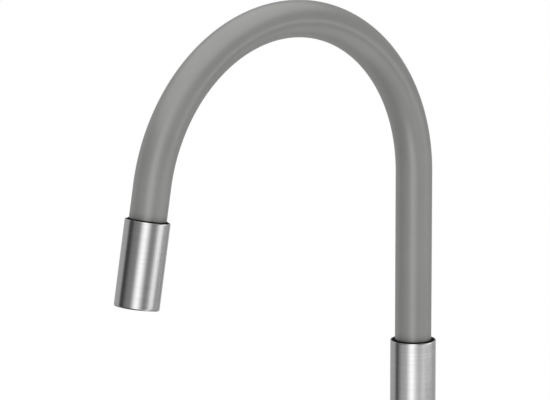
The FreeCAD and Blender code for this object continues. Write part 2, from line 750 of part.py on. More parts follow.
def make_hose_fitting(label, frame, seat, up):
    """A barbed fitting that stands on its seat, with the barb pointing up the frame."""
    spigot = "fitting_spigot_diameter / 2"
    flange = "fitting_flange_diameter / 2"
    hole = "fitting_bore_radius"
    ridge = "hose_bore / 2 - seat_clearance"
    root = "barb_root_radius"
    bottom = "%s - fitting_socket_depth + soft_clearance" % seat
    start = "%s + fitting_flange_height" % seat
    corners = [(hole, bottom), (spigot, bottom), (spigot, seat), (flange, seat), (flange, start),
               (root, start)]
    count = SIZES["barb_count"]
    for i in range(count):
        foot = "%s + barb_length * %d / barb_count" % (start, i)
        crown = "%s + barb_length * (%d + 0.3) / barb_count" % (start, i)
        corners += [(root, foot), (ridge, crown)] if i else [(ridge, crown)]
    corners += [(root, "%s + barb_length" % start), (hole, "%s + barb_length" % start)]
    return turned(label, frame, corners)


def make_ferrule(label, frame, barb_start):
    inner = "hose_diameter / 2 + seat_clearance"
    bottom = "%s + ferrule_offset" % barb_start
    ring(label, frame, inner, inner + " + ferrule_wall", bottom, bottom + " + ferrule_length")


def make_core_clamp(label, frame, outer, bottom, top, rim):
    """A ring that grips the core, with a lip round the hose's end almost up to the tube's rim."""
    lip = "sleeve_diameter / 2 + soft_clearance"
    edge = "%s - clamp_lip_recess" % rim
    turned(label, frame, [
        ("core_grip_radius", bottom), (outer, bottom), (outer, edge), (lip, edge), (lip, top),
        ("core_grip_radius", top)])


def make_bent_tube(label, outer, inner, start, end):
    """A tube up the riser, round the arch and down to a height above the outlet face."""
    body = new_body(label, COLUMN)
    path = new_sketch(body, "YZ_Plane", label + "_path")
    base = FreeCAD.Vector(0, number(start), 0)
    bend = FreeCAD.Vector(0, number("arch_base"), 0)
    centre = FreeCAD.Vector(-number("arch_radius"), number("arch_base"), 0)
    radius = number("arch_radius")
    finish = math.radians(number("arch_angle"))
    circle = Part.Circle(centre, FreeCAD.Vector(0, 0, 1), radius)
    arch_end = FreeCAD.Vector(number("arch_end_y"), number("arch_end_z"), 0)
    tilt = math.radians(number("head_tilt"))
    run = number("head_run - (%s)" % end)
    last = arch_end + FreeCAD.Vector(-math.sin(tilt), -math.cos(tilt), 0) * run
    riser = path.addGeometry(Part.LineSegment(base, bend), False)
    arch = path.addGeometry(Part.ArcOfCircle(circle, 0, finish), False)
    drop = path.addGeometry(Part.LineSegment(arch_end, last), False)
    tie(path, "DistanceX", "0", -1, 1, riser, 1)
    tie(path, "DistanceY", start, -1, 1, riser, 1)
    tie(path, "DistanceX", "0", -1, 1, riser, 2)
    tie(path, "DistanceY", "arch_base", -1, 1, riser, 2)
    path.addConstraint(Sketcher.Constraint("Coincident", riser, 2, arch, 1))
    tie(path, "DistanceX", "-arch_radius", -1, 1, arch, 3)
    tie(path, "DistanceY", "arch_base", -1, 1, arch, 3)
    path.addConstraint(Sketcher.Constraint("Coincident", arch, 2, drop, 1))
    tie(path, "DistanceX", "arch_end_y", -1, 1, drop, 1)
    tie(path, "DistanceX", "outlet_y + (%s) * sin(head_tilt)" % end, -1, 1, drop, 2)
    tie(path, "DistanceY", "outlet_z + (%s) * cos(head_tilt)" % end, -1, 1, drop, 2)
    section = new_sketch(body, "XY_Plane", label + "_section")
    bind(section, "AttachmentOffset.Base.z", start)
    draw_circle(section, outer)
    draw_circle(section, inner)
    pipe = body.newObject("PartDesign::AdditivePipe", label + "_swept")
    pipe.Profile = section
    pipe.Spine = path
    return body


def make_spout():
    make_swivel()
    make_tube("collar_tube", COLUMN, "collar_radius", "collar_wall", "collar_bottom",
              "collar_rim", "rim_bevel")
    make_hose_fitting("lower_hose_fitting", COLUMN, "flange_top", "low_barb_start")
    make_ferrule("lower_hose_ferrule", COLUMN, "low_barb_start")
    make_core_clamp("lower_core_clamp", COLUMN, "collar_bore_radius - seat_clearance",
                    "low_core_start", "low_clamp_top", "collar_rim")
    make_bent_tube("water_hose", "hose_diameter", "hose_bore", "low_barb_start + soft_clearance",
                   "head_barb_start + soft_clearance")
    make_bent_tube("gooseneck_core", "core_diameter", "core_bore", "low_core_start",
                   "head_core_end")
    make_bent_tube("silicone_sleeve", "sleeve_diameter", "sleeve_bore", "low_sleeve_start",
                   "head_sleeve_end")


def make_aerator():
    thread = "aerator_diameter / 2"
    hole = "aerator_diameter / 2 - aerator_wall"
    step = hole + " - insert_step"
    turned("aerator_housing", HEAD, [
        (step, "aerator_bottom"), (thread, "aerator_bottom"), (thread, "aerator_top"),
        (hole, "aerator_top"), (hole, "aerator_bottom + insert_step"),
        (step, "aerator_bottom + insert_step")])
    ring("aerator_gasket", HEAD, hole + " - insert_step", thread, "aerator_top", "adapter_seat")
    outer = hole + " - seat_clearance"
    inner = hole + " - insert_wall"
    bottom = "aerator_bottom + insert_step"
    floor = "%s + insert_floor" % bottom
    body = turned("aerator_insert", HEAD, [
        ("0", bottom), (outer, bottom), (outer, "aerator_top"), (inner, "aerator_top"),
        (inner, floor), ("0", floor)])
    bore(body, "middle_hole", "mesh_hole_diameter", "insert_floor + 2",
         ("0", "0", bottom + " - 1"))
    for turn_number in (1, 2):
        sketch = new_sketch(body, "XY_Plane", "mesh_ring_%d" % turn_number)
        bind(sketch, "AttachmentOffset.Base.z", bottom)
        draw_circle(sketch, "mesh_hole_diameter", "mesh_ring_step * %d" % turn_number)
        hole_step = body.newObject("PartDesign::Pocket", "mesh_hole_%d" % turn_number)
        hole_step.Profile = sketch
        hole_step.Reversed = True
        bind(hole_step, "Length", "insert_floor + 1")
        pattern = body.newObject("PartDesign::PolarPattern", "mesh_holes_%d" % turn_number)
        pattern.Originals = [hole_step]
        pattern.Axis = (sketch, ["N_Axis"])
        pattern.Angle = 360
        pattern.Occurrences = 6 * turn_number
        body.Tip = pattern
    return body


def make_spout_head():
    make_tube("head_tube", HEAD, "head_radius", "head_wall", "0", "head_length",
              "rim_bevel")
    outer = "head_bore_radius - seat_clearance"
    thread = "aerator_diameter / 2 + thread_clearance"
    socket = "fitting_spigot_diameter / 2 + seat_clearance"
    neck = "swivel_bore / 2"
    turned("head_adapter", HEAD, [
        (thread, "adapter_recess"), (outer, "adapter_recess"), (outer, "adapter_top"),
        (socket, "adapter_top"), (socket, "adapter_top - fitting_socket_depth"),
        (neck, "adapter_top - fitting_socket_depth"), (neck, "adapter_seat"),
        (thread, "adapter_seat")])
    make_hose_fitting("upper_hose_fitting", HEAD, "adapter_top", "head_barb_start")
    make_ferrule("upper_hose_ferrule", HEAD, "head_barb_start")
    make_core_clamp("upper_core_clamp", HEAD, outer, "head_core_end", "head_clamp_top",
                    "head_length")
    make_aerator()


make_shank()
make_washers()
make_shank_nut()
make_base()
make_main_body()
make_retaining_screw()
make_cartridge()
make_mixing_disc()
make_spindle_guide()
make_cartridge_nut_and_cover()
make_lever_stem()
make_handle_hub()
make_lever_rod()
make_handle_fasteners()
make_spout()
make_spout_head()

doc.recompute()
faults = []
for thing in doc.Objects:
    if "Invalid" in thing.State or "Error" in thing.State:
        faults.append("%s: %s" % (thing.Label, thing.State))
for node in nodes:
    if node.Shape.isNull() or not node.Shape.isValid() or not node.Shape.Solids:
        faults.append("%s: bad shape" % node.Label)
if faults:
    raise RuntimeError("\n".join(faults))

path_length = number("arch_base - low_sleeve_start + head_run - head_sleeve_end")
path_length += math.radians(number("arch_angle")) * number("arch_radius")
section_area = math.pi / 4 * (number("sleeve_diameter") ** 2 - number("sleeve_bore") ** 2)
sleeve = doc.getObject("silicone_sleeve").Shape.Volume
print("sleeve volume %.1f, section times length %.1f" % (sleeve, path_length * section_area))

os.makedirs("parts", exist_ok=True)
for node in nodes:
    node.Shape.exportStep("parts/%s.step" % node.Label)
print("the lever's ball stands %.2f mm below its pivot" % number("ball_arm"))
print("%d nodes, %d solids" % (len(nodes), sum(len(n.Shape.Solids) for n in nodes)))
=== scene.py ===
import json
import math

import bpy
from mathutils import Matrix, Vector


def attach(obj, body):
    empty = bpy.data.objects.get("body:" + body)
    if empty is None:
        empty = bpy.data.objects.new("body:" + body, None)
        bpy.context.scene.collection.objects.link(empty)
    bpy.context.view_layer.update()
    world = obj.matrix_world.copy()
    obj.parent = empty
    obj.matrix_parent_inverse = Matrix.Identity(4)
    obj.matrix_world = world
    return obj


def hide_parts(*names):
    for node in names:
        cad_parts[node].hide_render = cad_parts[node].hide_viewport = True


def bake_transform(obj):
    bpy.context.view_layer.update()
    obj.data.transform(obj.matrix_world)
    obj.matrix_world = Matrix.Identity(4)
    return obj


# Kitchen mixer tap with a flexible silicone spout, dressed over its CAD frame.
# Metres. The worktop is at z = 0, the spout reaches towards -Y, the lever stands on +X.

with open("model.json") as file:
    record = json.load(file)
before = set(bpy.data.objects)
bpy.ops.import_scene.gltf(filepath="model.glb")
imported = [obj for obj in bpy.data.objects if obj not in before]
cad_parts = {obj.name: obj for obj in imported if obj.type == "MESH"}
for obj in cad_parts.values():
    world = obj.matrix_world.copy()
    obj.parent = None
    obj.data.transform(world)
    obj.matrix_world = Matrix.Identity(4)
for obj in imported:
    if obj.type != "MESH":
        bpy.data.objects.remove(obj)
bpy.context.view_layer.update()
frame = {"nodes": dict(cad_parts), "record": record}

# The gooseneck's route: up the riser, round the arch and down into the head
ARCH_BASE = 0.2823
ARCH_RADIUS = 0.113
ARCH_ANGLE = math.radians(170.07)
HEAD_TILT = math.pi - ARCH_ANGLE
HEAD_RUN = 0.0774
ARCH_CENTRE = Vector((0, -ARCH_RADIUS, ARCH_BASE))
HEAD_UP = Vector((0, math.sin(HEAD_TILT), math.cos(HEAD_TILT)))
ARCH_END = ARCH_CENTRE + Vector((0, -math.cos(HEAD_TILT), math.sin(HEAD_TILT))) * ARCH_RADIUS
OUTLET = ARCH_END - HEAD_UP * HEAD_RUN

# The rims that the hose comes out of: height in the column's frame and in the head's frame
COLLAR_RIM = 0.170
HEAD_RIM = 0.0553

# Where the lever's rod stands, out along the barrel, in millimetres
ROD_OUT = 61.75

# Frames: the column, the head's axis up from the outlet face, the barrel out along +X and
# the lever's rod
COLUMN = Matrix.Identity(4)
HEAD = Matrix.Translation(OUTLET) @ Matrix.Rotation(-HEAD_TILT, 4, "X")
BARREL = Matrix(((0, 0, 1, 0), (0, -1, 0, 0), (1, 0, 0, 0.062), (0, 0, 0, 1)))
LEVER = Matrix.Translation((ROD_OUT / 1000, 0, 0))

DOUBLED = 1e-6          # points nearer than this are one point
COLUMN_SKIN = 0.0222    # just outside the column, where the barrel's own brush lines start
RIM_EDGE = 0.0001       # a rim is fully worn as far as this
RIM_WEAR = 0.0009       # and not worn at all past this
SMOOTH_BELOW = math.radians(35)


# Modelling

def nothing_selected():
    if bpy.context.object and bpy.context.object.mode != "OBJECT":
        bpy.ops.object.mode_set(mode="OBJECT")
    bpy.ops.object.select_all(action="DESELECT")


def take(piece):
    """Makes one piece the only selected and active object."""
    nothing_selected()
    piece.select_set(True)
    bpy.context.view_layer.objects.active = piece


def start(name, primitive, **settings):
    """Adds a primitive, names it and moves its place into its mesh."""
    nothing_selected()
    primitive(**settings)
    piece = bpy.context.object
    piece.name = name
    piece.data.name = name
    bpy.ops.object.transform_apply(location=True, rotation=True, scale=True)
    return piece


def point_at(name, place):
    """Adds a mesh of one selected point and leaves it in edit mode."""
    piece = start(name, bpy.ops.mesh.primitive_plane_add, size=0.001, location=place)
    all_selected()
    bpy.ops.mesh.merge(type="CENTER")
    return piece


def all_selected():
    bpy.ops.object.mode_set(mode="EDIT")
    bpy.ops.mesh.select_mode(type="VERT")
    bpy.ops.mesh.select_all(action="SELECT")


def pick_faces(piece, test):
    """Selects in edit mode the faces whose middle passes the test."""
    take(piece)
    bpy.ops.object.mode_set(mode="EDIT")
    bpy.ops.mesh.select_mode(type="FACE")
    bpy.ops.mesh.select_all(action="DESELECT")
    bpy.ops.object.mode_set(mode="OBJECT")
    for face in piece.data.polygons:
        face.select = bool(test(face.center))
    bpy.ops.object.mode_set(mode="EDIT")


def shut(piece):
    """Joins doubled points and turns every face outwards."""
    take(piece)
    all_selected()
    bpy.ops.mesh.remove_doubles(threshold=DOUBLED)
    bpy.ops.mesh.normals_make_consistent(inside=False)
    bpy.ops.object.mode_set(mode="OBJECT")


def modify(piece, kind, **settings):
    """Adds a modifier and applies it."""
    take(piece)
    modifier = piece.modifiers.new(kind.lower(), kind)
    for name, value in settings.items():
        setattr(modifier, name, value)
    bpy.ops.object.modifier_apply(modifier=modifier.name)


def soften(piece, width, angle=30):
    """Rounds the edges sharper than an angle in degrees, and smooths the shading."""
    modify(piece, "BEVEL", width=width, segments=3, limit_method="ANGLE",
           angle_limit=math.radians(angle), miter_outer="MITER_ARC")
    bpy.ops.object.shade_smooth_by_angle(angle=SMOOTH_BELOW)
    modify(piece, "WEIGHTED_NORMAL", keep_sharp=True)


def slice_off(piece, point, normal):
    """Cuts off what lies behind a plane through a point in millimetres, and closes the cut."""
    take(piece)
    all_selected()
    bpy.ops.mesh.bisect(plane_co=Vector(point) / 1000, plane_no=normal, use_fill=True,
                        clear_inner=True)
    shut(piece)


def combine(piece, tool, operation):
    """Cuts a closed tool out of a piece, or keeps what both hold, and deletes the tool."""
    modify(piece, "BOOLEAN", object=tool, operation=operation, solver="EXACT")
    bpy.data.objects.remove(tool)


def drill(piece, diameter, middle, length, way):
    """Bores a round hole along X or Y, given by its middle and length in millimetres."""
    turn = {"X": (0, math.pi / 2, 0), "Y": (math.pi / 2, 0, 0)}[way]
    bit = start("drill_bit", bpy.ops.mesh.primitive_cylinder_add, vertices=72,
                radius=diameter / 2000, depth=length / 1000, location=Vector(middle) / 1000,
                rotation=turn)
    combine(piece, bit, "DIFFERENCE")


def put(piece, place):
    """Moves a piece made about the Z axis into a frame of the tap."""
    take(piece)
    piece.matrix_world = place
    bpy.ops.object.transform_apply(location=True, rotation=True, scale=True)


def with_margins(corners):
    """Adds a point near both ends of each long side, to keep its smooth shading straight."""
    margin = 0.8
    points = [corners[0]]
    for before, after in zip(corners, corners[1:]):
        step = (after - before).normalized() * margin / 1000
        if (after - before).length > 3 * step.length:
            points += [before + step, after - step]
        points.append(after)
    return points


def lathe(name, corners, steps=128):
    """Turns an outline of (radius, height) corners in millimetres about the Z axis.
    An outline that starts off the axis is closed; one that starts on it ends on it too.
    Two turned pieces that are combined need different steps, so that no points meet."""
    corners = [Vector((radius, 0, height)) / 1000 for radius, height in corners]
    if corners[0].x > 0:
        corners.append(corners[0])
    corners = with_margins(corners)
    piece = point_at(name, corners[0])
    for before, after in zip(corners, corners[1:]):
        bpy.ops.mesh.extrude_vertices_move(TRANSFORM_OT_translate={"value": after - before})
    bpy.ops.mesh.select_all(action="SELECT")
    bpy.ops.mesh.spin(steps=steps, angle=2 * math.pi, center=(0, 0, 0), axis=(0, 0, 1))
    shut(piece)
    return piece


def straight_on(run, pitch):
    """Carries the selected rim along a straight run, in steps of about one pitch."""
    count = max(1, round(run.length / pitch))
    for _ in range(count):
        bpy.ops.mesh.extrude_region_move(TRANSFORM_OT_translate={"value": run / count})


def round_the_arch(steps):
    """Carries what is selected round the arch."""
    bpy.ops.mesh.spin(steps=steps, angle=ARCH_ANGLE, center=ARCH_CENTRE, axis=(-1, 0, 0))


def gooseneck_tube(name, outer, inner, foot, head_end, sides, pitch):
    """A tube in millimetres from foot, up the riser and round the arch, to head_end in the
    head's frame. The pitch is the length of its faces."""
    outer, inner, foot, head_end, pitch = (
        size / 1000 for size in (outer, inner, foot, head_end, pitch))
    piece = start(name, bpy.ops.mesh.primitive_circle_add, vertices=sides, radius=outer,
                  fill_type="NGON", location=(0, 0, foot))
    pick_faces(piece, lambda middle: True)
    bpy.ops.mesh.inset(thickness=(outer - inner) * math.cos(math.pi / sides))
    pick_faces(piece, lambda middle: middle.xy.length < inner / 2)
    bpy.ops.mesh.delete(type="FACE")
    bpy.ops.mesh.select_all(action="SELECT")
    straight_on(Vector((0, 0, ARCH_BASE - foot)), pitch)
    round_the_arch(round(ARCH_RADIUS * ARCH_ANGLE / pitch))
    straight_on(HEAD_UP * (head_end - HEAD_RUN), pitch)
    shut(piece)
    bpy.ops.object.shade_smooth_by_angle(angle=SMOOTH_BELOW)
    return piece


def mark_places(piece):
    """Keeps each point's place at rest, so that a pattern stays on the skin as it bends."""
    marks = piece.data.attributes.new("rest_place", "FLOAT_VECTOR", "POINT")
    for mark, vertex in zip(marks.data, piece.data.vertices):
        mark.vector = vertex.co


def centre_line(name, foot, head_end):
    """The gooseneck's centre line as a curve, in millimetres from foot to head_end."""
    line = point_at(name, (0, 0, foot / 1000))
    rise = Vector((0, 0, ARCH_BASE - foot / 1000))
    bpy.ops.mesh.extrude_vertices_move(TRANSFORM_OT_translate={"value": rise})
    round_the_arch(90)
    drop = HEAD_UP * (head_end / 1000 - HEAD_RUN)
    bpy.ops.mesh.extrude_vertices_move(TRANSFORM_OT_translate={"value": drop})
    all_selected()
    bpy.ops.mesh.remove_doubles(threshold=DOUBLED)
    bpy.ops.object.mode_set(mode="OBJECT")
    bpy.ops.object.convert(target="CURVE")
    return bpy.context.object


def coil(name, outer, wire, foot, head_end, turns):
    """A spring of round wire, wound straight and then laid along the gooseneck."""
    wire_sides = 8
    steps = 24
    run = ARCH_BASE + ARCH_RADIUS * ARCH_ANGLE + HEAD_RUN - (foot + head_end) / 1000
    spring = start(name, bpy.ops.mesh.primitive_circle_add, vertices=wire_sides,
                   radius=wire / 2000, location=((outer - wire / 2) / 1000, 0, wire / 2000),
                   rotation=(math.pi / 2, 0, 0))
    modify(spring, "SCREW", axis="Z", angle=2 * math.pi, steps=steps, render_steps=steps,
           iterations=turns, screw_offset=(run - wire / 1000) / turns)
    all_selected()
    bpy.ops.mesh.fill_holes(sides=0)
    shut(spring)
    line = centre_line(name + "_line", foot, head_end)
    modify(spring, "CURVE", object=line, deform_axis="POS_Z")
    bpy.data.objects.remove(line)
    bpy.ops.object.shade_smooth_by_angle(angle=math.radians(60))
    return spring


def screw_thread(name, crest, root, pitch, low, high):
    """A solid rod with a helical thread, in millimetres, two turns longer at both ends."""
    steps = 96
    flank, flat = 0.375 * pitch / 1000, 0.125 * pitch / 1000
    depth = (crest - root) / 1000
    rod = point_at(name, (root / 1000, 0, (low - 2 * pitch) / 1000))
    for out, up in ((depth, flank), (0, flat), (-depth, flank), (0, flat)):
        bpy.ops.mesh.extrude_vertices_move(TRANSFORM_OT_translate={"value": (out, 0, up)})
    turns = math.ceil((high - low) / pitch) + 4
    modify(rod, "SCREW", axis="Z", angle=2 * math.pi, steps=steps, render_steps=steps,
           iterations=turns, screw_offset=pitch / 1000, use_merge_vertices=True,
           merge_threshold=DOUBLED)
    all_selected()
    bpy.ops.mesh.fill_holes(sides=0)
    shut(rod)
    return rod


def honeycomb_cells(name, width, pitch, reach, low, high):
    """Six-sided rods side by side, whose middles lie in a circle of this reach, in
    millimetres."""
    cells = start(name, bpy.ops.mesh.primitive_cylinder_add, vertices=6,
                  radius=width / math.sqrt(3) / 1000, depth=(high - low) / 1000,
                  location=(0, 0, (low + high) / 2000))
    all_selected()
    last = Vector((0, 0, 0))
    rows = math.ceil(reach / pitch) + 1
    for row in range(-rows, rows + 1):
        for column in range(-2 * rows, 2 * rows + 1):
            middle = Vector((column + row / 2, row * math.sqrt(3) / 2, 0)) * pitch / 1000
            if 0 < middle.length <= reach / 1000:
                bpy.ops.mesh.duplicate_move(TRANSFORM_OT_translate={"value": middle - last})
                last = middle
    bpy.ops.object.mode_set(mode="OBJECT")
    return cells


# Shading

class Wire:
    """An output of a node that can stand in sums."""

    def __init__(self, graph, socket):
        self.graph = graph
        self.socket = socket

    def other(self, name):
        return Wire(self.graph, self.socket.node.outputs[name])

    def math(self, operation, first, second=0.0):
        return self.graph.node("Math", {"operation": operation}, {0: first, 1: second})

    def __add__(self, other):
        return self.math("ADD", self, other)

    def __radd__(self, other):
        return self.math("ADD", other, self)

    def __sub__(self, other):
        return self.math("SUBTRACT", self, other)

    def __rsub__(self, other):
        return self.math("SUBTRACT", other, self)

    def __mul__(self, other):
        return self.math("MULTIPLY", self, other)

    def __rmul__(self, other):
        return self.math("MULTIPLY", other, self)

    def size(self):
        return self.math("ABSOLUTE", self)

    def larger(self, other):
        return self.math("MAXIMUM", self, other)


class Graph:
    """The nodes of one material or of the world."""

    def __init__(self, owner):
        owner.use_nodes = True
        self.tree = owner.node_tree
        self.tree.nodes.clear()

    def node(self, kind, settings=None, sockets=None, output=0):
        """Adds a node with its settings, then the values or wires of its sockets."""
        made = self.tree.nodes.new("ShaderNode" + kind)
        for name, value in (settings or {}).items():
            if name == "stops":
                self.set_stops(made.color_ramp, value)
            else:
                setattr(made, name, value)
        for name, value in (sockets or {}).items():
            if isinstance(value, Wire):
                self.tree.links.new(value.socket, made.inputs[name])
            else:
                made.inputs[name].default_value = value
        return Wire(self, made.outputs[output]) if made.outputs else None

    def set_stops(self, ramp, stops):
        """Gives a ramp its stops: (place, grey) pairs from left to right."""
        ramp.interpolation = "EASE"
        while len(ramp.elements) < len(stops):
            ramp.elements.new(1)
        for element, (place, level) in zip(ramp.elements, stops):
            element.position = place
            element.color = grey(level)

    def places(self, place=COLUMN, bends=False):
        """Object coordinates, or a bending piece's places at rest, from a frame of the tap."""
        if bends:
            there = self.node("Attribute", {"attribute_name": "rest_place"}, output="Vector")
        else:
            there = self.node("TexCoord", output="Object")
        return self.node("Mapping", {"vector_type": "TEXTURE"},
                         {"Vector": there, "Location": place.to_translation(),
                          "Rotation": place.to_euler()})

    def axis(self, vector, name="Z"):
        """One part of a vector."""
        return self.node("SeparateXYZ", None, {0: vector}, name)

    def noise(self, vector, waves, detail=3.0, roughness=0.5):
        """Noise from 0 to 1, with this many waves per metre along X, Y and Z."""
        wide = self.node("VectorMath", {"operation": "MULTIPLY"}, {0: vector, 1: waves})
        return self.node("TexNoise", None, {"Vector": wide, "Scale": 1.0, "Detail": detail,
                                            "Roughness": roughness})

    def ramp(self, value, low, high, start=0.0, finish=1.0):
        """Goes smoothly from start to finish as the value goes from low to high."""
        return self.node("MapRange", {"interpolation_type": "SMOOTHSTEP"},
                         {"Value": value, 1: low, 2: high, 3: start, 4: finish})

    # A Mix node keeps its vectors in sockets 4 and 5 and output 1, and its colours in
    # sockets 6 and 7 and output 2.

    def blend(self, amount, first, second):
        """Mixes two colours."""
        return self.node("Mix", {"data_type": "RGBA"}, {0: amount, 6: first, 7: second}, 2)

    def blend_places(self, amount, first, second):
        """Mixes two vectors."""
        return self.node("Mix", {"data_type": "VECTOR"}, {0: amount, 4: first, 5: second}, 1)


def grey(level, warmth=0.0):
    return (level * (1 + warmth), level, level * (1 - warmth), 1)


def toned(colour, factor):
    """A colour made lighter or darker, white at most."""
    return tuple(min(1.0, part * factor) for part in colour[:3]) + (1,)


def new_material(name):
    made = bpy.data.materials.new(name)
    return made, Graph(made)


def surface(graph, made, height, depth, **sockets):
    """Ends a material: a principled shader with a bump of the given depth in metres."""
    bump = graph.node("Bump", None, {"Strength": 1.0, "Distance": depth, "Height": height})
    sockets = {key.replace("_", " ").title().replace("Ior", "IOR"): value
               for key, value in sockets.items()}
    shader = graph.node("BsdfPrincipled", None, dict(sockets, Normal=bump))
    graph.node("OutputMaterial", None, {"Surface": shader})
    return made


def brushed_steel(name, place, rims=(), barrel_place=None):
    """Stainless steel brushed in rings round the frame's axis, worn a little brighter at its
    rims, whose heights are in millimetres. What stands out of the column has its own frame."""
    steel = 0.56
    made, graph = new_material(name)
    at = graph.places(place)
    if barrel_place is not None:
        there = graph.places()
        flat = graph.node("CombineXYZ", None, {0: graph.axis(there, "X"),
                                               1: graph.axis(there, "Y")})
        far = graph.node("VectorMath", {"operation": "LENGTH"}, {0: flat}, "Value")
        outside = graph.ramp(far, COLUMN_SKIN, COLUMN_SKIN + 0.0001)
        at = graph.blend_places(outside, at, graph.places(barrel_place))
    fine = graph.noise(at, waves=(45, 45, 5200), detail=2)
    broad = graph.noise(at, waves=(22, 22, 950))
    smudge = graph.noise(at, waves=(42, 42, 42), detail=4, roughness=0.6)
    lines = fine * 0.45 + broad * 0.55
    roughness = 0.13 + fine * 0.04 + broad * 0.03 + smudge * 0.04
    colour = graph.blend(graph.ramp(lines, 0.3, 0.7), grey(steel * 0.95),
                         grey(steel * 1.05, warmth=0.004))
    if rims:
        along = graph.axis(at)
        wear = None
        for rim in rims:
            near = graph.ramp((along - rim / 1000).size(), RIM_EDGE, RIM_WEAR, 1.0, 0.0)
            wear = near if wear is None else wear.larger(near)
        wear = wear * graph.ramp(smudge, 0.35, 0.6, 0.35, 1.0)
        colour = graph.blend(wear * 0.25, colour, grey(0.74))
        roughness = roughness - wear * 0.03
    return surface(graph, made, lines, 0.0000015, base_color=colour, roughness=roughness,
                   metallic=1.0)


def machined(name, place, tone, roughness):
    """Turned metal: fine tool rings round the axis and a faint stain."""
    made, graph = new_material(name)
    at = graph.places(place)
    rings = graph.noise(at, waves=(12, 12, 2600), detail=2)
    stain = graph.noise(at, waves=(90, 90, 90), detail=4, roughness=0.65)
    colour = graph.blend(graph.ramp(stain, 0.38, 0.66), tone, toned(tone, 0.82))
    rough = roughness - 0.06 + rings * 0.08 + stain * 0.08
    return surface(graph, made, rings, 0.000006, base_color=colour, roughness=rough,
                   metallic=1.0)


def moulded(name, tone, roughness, grain, depth, fleck=0.06, specular=0.5):
    """Plastic, rubber or ceramic with a grain of so many waves per metre and faint flecks."""
    made, graph = new_material(name)
    at = graph.places()
    pores = graph.noise(at, waves=(grain, grain, grain), roughness=0.6)
    cloud = graph.noise(at, waves=(55, 55, 55), detail=4, roughness=0.55)
    colour = graph.blend(graph.ramp(cloud * 0.7 + pores * 0.3, 0.35, 0.65),
                         toned(tone, 1 - fleck), toned(tone, 1 + fleck))
    rough = roughness - 0.06 + pores * 0.07 + cloud * 0.05
    return surface(graph, made, pores, depth, base_color=colour, roughness=rough,
                   specular_ior_level=specular)


def silicone(name):
    """Warm grey silicone with a smooth skin, faint clouds and fine dust, and painted shade
    where it leaves the tubes.
    """
    made, graph = new_material(name)
    at = graph.places(bends=True)
    skin = graph.noise(at, waves=(2600, 2600, 2600), roughness=0.6)
    cloud = graph.noise(at, waves=(38, 38, 38), detail=5, roughness=0.55)
    dust = graph.ramp(graph.noise(at, waves=(900, 900, 900), detail=2), 0.66, 0.78)
    colour = graph.blend(graph.ramp(cloud, 0.3, 0.7), (0.221, 0.219, 0.214, 1),
                         (0.235, 0.233, 0.227, 1))
    colour = graph.blend(dust * 0.08, colour, (0.38, 0.375, 0.36, 1))
    # Painted shade where the hose leaves the two tubes: darkest at the rims, thinning out over
    # a few millimetres
    low = graph.axis(at)
    high = graph.axis(graph.places(HEAD, bends=True))
    riser = graph.ramp(graph.axis(at, "Y"), -0.030, -0.029)
    out = (low - COLLAR_RIM) * riser + (high - HEAD_RIM) * (1 - riser)
    thick = graph.ramp(out, -0.0005, 0.0025, 0.40, 0.0)
    thin = graph.ramp(out, -0.001, 0.0065, 0.55, 0.0)
    colour = graph.blend(thick + thin, colour, (0.045, 0.044, 0.042, 1))
    rough = 0.27 + skin * 0.06 + cloud * 0.05
    return surface(graph, made, skin, 0.000006, base_color=colour, roughness=rough,
                   specular_ior_level=1.0, ior=1.52)


BRASS = (0.66, 0.49, 0.24, 1)

MATERIALS = {
    "brushed_steel": brushed_steel("brushed_steel", COLUMN),
    "plain_steel": machined("plain_steel", COLUMN, grey(0.50, 0.01), roughness=0.34),
    "brass": machined("brass", COLUMN, BRASS, roughness=0.30),
    "grey_silicone": silicone("grey_silicone"),
    "black_rubber": moulded("black_rubber", grey(0.022), roughness=0.62, grain=2200,
                            depth=0.00003),
    "hose_rubber": moulded("hose_rubber", grey(0.16), roughness=0.55, grain=1800,
                           depth=0.00003),
    "dark_plastic": moulded("dark_plastic", grey(0.035), roughness=0.42, grain=1500,
                            depth=0.00001),
    "pale_plastic": moulded("pale_plastic", (0.62, 0.61, 0.57, 1), roughness=0.38, grain=1500,
                            depth=0.00001, fleck=0.03),
    "ceramic": moulded("ceramic", (0.78, 0.77, 0.72, 1), roughness=0.16, grain=3000,
                       depth=0.000002, fleck=0.02),
    "mark_plastic": moulded("mark_plastic", grey(0.30), roughness=0.35, grain=1500,
                            depth=0.00001),
}
slot_of = {part["node"]: part["material_slot"] for part in frame["record"]["subparts"]}
for label, node in frame["nodes"].items():
    node.data.materials.clear()
    node.data.materials.append(MATERIALS[slot_of[label]])

# CAD pieces whose finish follows their own axis or shows their own worn rims
OWN_FINISH = {
    "main_body": brushed_steel("body_steel", COLUMN, rims=(108, 6), barrel_place=BARREL),
    "base_ring": brushed_steel("base_steel", COLUMN, rims=(5.2,)),
    "cover_ring": brushed_steel("cover_steel", BARREL, rims=(50,)),
    "head_adapter": machined("adapter_brass", HEAD, BRASS, roughness=0.30),
}
for label, material in OWN_FINISH.items():
    frame["nodes"][label].data.materials[0] = material


def finished(piece, material, node, body=None):
    """Gives a piece its material and the place of the CAD node that it stands for, which it
    hides, and the body that it rides on, if one is given."""
    piece.data.materials.clear()
    piece.data.materials.append(material)
    if body:
        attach(piece, body)
    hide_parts(node)


# The hose with what it holds, laid along the arch

sleeve = gooseneck_tube("silicone_hose", outer=12, inner=9.5, foot=152.9, head_end=51.8,
                        sides=96, pitch=3.6)
mark_places(sleeve)
finished(sleeve, MATERIALS["grey_silicone"], "silicone_sleeve")
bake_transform(sleeve)

core = coil("support_spring", outer=9.3, wire=2.8, foot=140.6, head_end=43.5, turns=168)
finished(core, MATERIALS["plain_steel"], "gooseneck_core")
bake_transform(core)

inner_hose = gooseneck_tube("inner_hose", outer=6, inner=4, foot=124.4, head_end=27.3,
                            sides=32, pitch=5)
finished(inner_hose, MATERIALS["hose_rubber"], "water_hose")
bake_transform(inner_hose)

# The two brushed tubes

